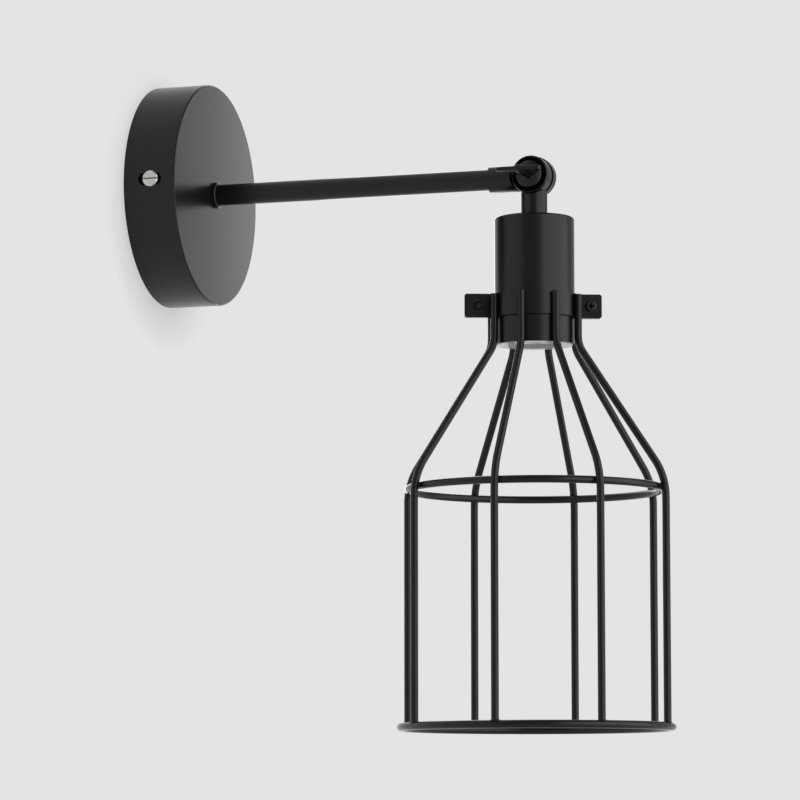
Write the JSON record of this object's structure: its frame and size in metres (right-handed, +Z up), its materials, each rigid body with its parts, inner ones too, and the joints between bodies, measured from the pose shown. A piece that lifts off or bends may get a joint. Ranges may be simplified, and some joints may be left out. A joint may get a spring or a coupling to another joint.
{
  "type": "wall light",
  "caption": "Wall light with a round cover, a straight arm, a tilting knuckle clamped by a wing screw, and a cylindrical cup carrying a flared wire cage.",
  "frame": {"origin": "on the wall plane at the cover's centre, midway between the bracket's two wall slots", "axes": "+Y into the wall, so the arm runs along -Y; +Z up, the lamp hangs along -Z; X along the tilt axis and the row of wall slots"},
  "size_m": [0.1458, 0.283, 0.3518],
  "materials": {
    "black_paint": "satin black powder coat over steel",
    "screw_steel": "bright nickel-plated steel",
    "black_screw": "black finished steel screw",
    "zinc_steel": "bright zinc-plated steel",
    "brass": "plain brass",
    "porcelain": "white glazed ceramic",
    "block_plastic": "off-white moulded polyamide",
    "fibre": "dark pressed fibre",
    "rubber": "matt black rubber",
    "brown_lead": "brown insulation",
    "blue_lead": "blue insulation",
    "green_lead": "green insulation with a yellow stripe"
  },
  "bodies": {
    "wall_unit": {"wall_bracket": "black_paint", "earth_screw": "brass", "cover": "black_paint", "cover_screws": "screw_steel", "root_washer": "black_paint", "arm_tube": "black_paint", "arm_lock_washer": "zinc_steel", "arm_lock_nut": "brass", "terminal_block": "block_plastic", "terminal_screws": "zinc_steel", "block_screw": "zinc_steel", "live_lead": "brown_lead", "neutral_lead": "blue_lead", "earth_lead": "green_lead", "knuckle_arm_half": "black_paint", "friction_ring": "fibre"},
    "lamp_head": {"knuckle_lamp_half": "black_paint", "rubber_ring": "rubber", "cup": "black_paint", "cup_nipple": "brass", "cup_nut": "brass", "lampholder_yoke": "zinc_steel", "lampholder_body": "porcelain", "screw_shell": "screw_steel", "centre_contact": "brass", "side_contact": "brass", "lampholder_screws": "zinc_steel", "contact_screws": "brass", "lamp_live_lead": "brown_lead", "lamp_neutral_lead": "blue_lead", "collar_near": "black_paint", "collar_far": "black_paint", "collar_screws": "black_screw", "mid_ring": "black_paint", "bottom_ring": "black_paint", "cage_wire_1": "black_paint", "cage_wire_2": "black_paint", "cage_wire_3": "black_paint", "cage_wire_4": "black_paint", "cage_wire_5": "black_paint", "cage_wire_6": "black_paint", "cage_wire_7": "black_paint", "cage_wire_8": "black_paint"},
    "wing_screw": {"wing_screw": "black_paint"}
  },
  "joints": [
    {"name": "head_tilt", "type": "hinge", "parent": "wall_unit", "child": "lamp_head", "pos_m": [0, -0.2097, 0.0006], "axis": [1, 0, 0], "range_deg": [-195, 10]},
    {"name": "wing_screw_turn", "type": "hinge", "parent": "wall_unit", "child": "wing_screw", "pos_m": [0, -0.2097, 0.0006], "axis": [1, 0, 0], "continuous": true}
  ]
}
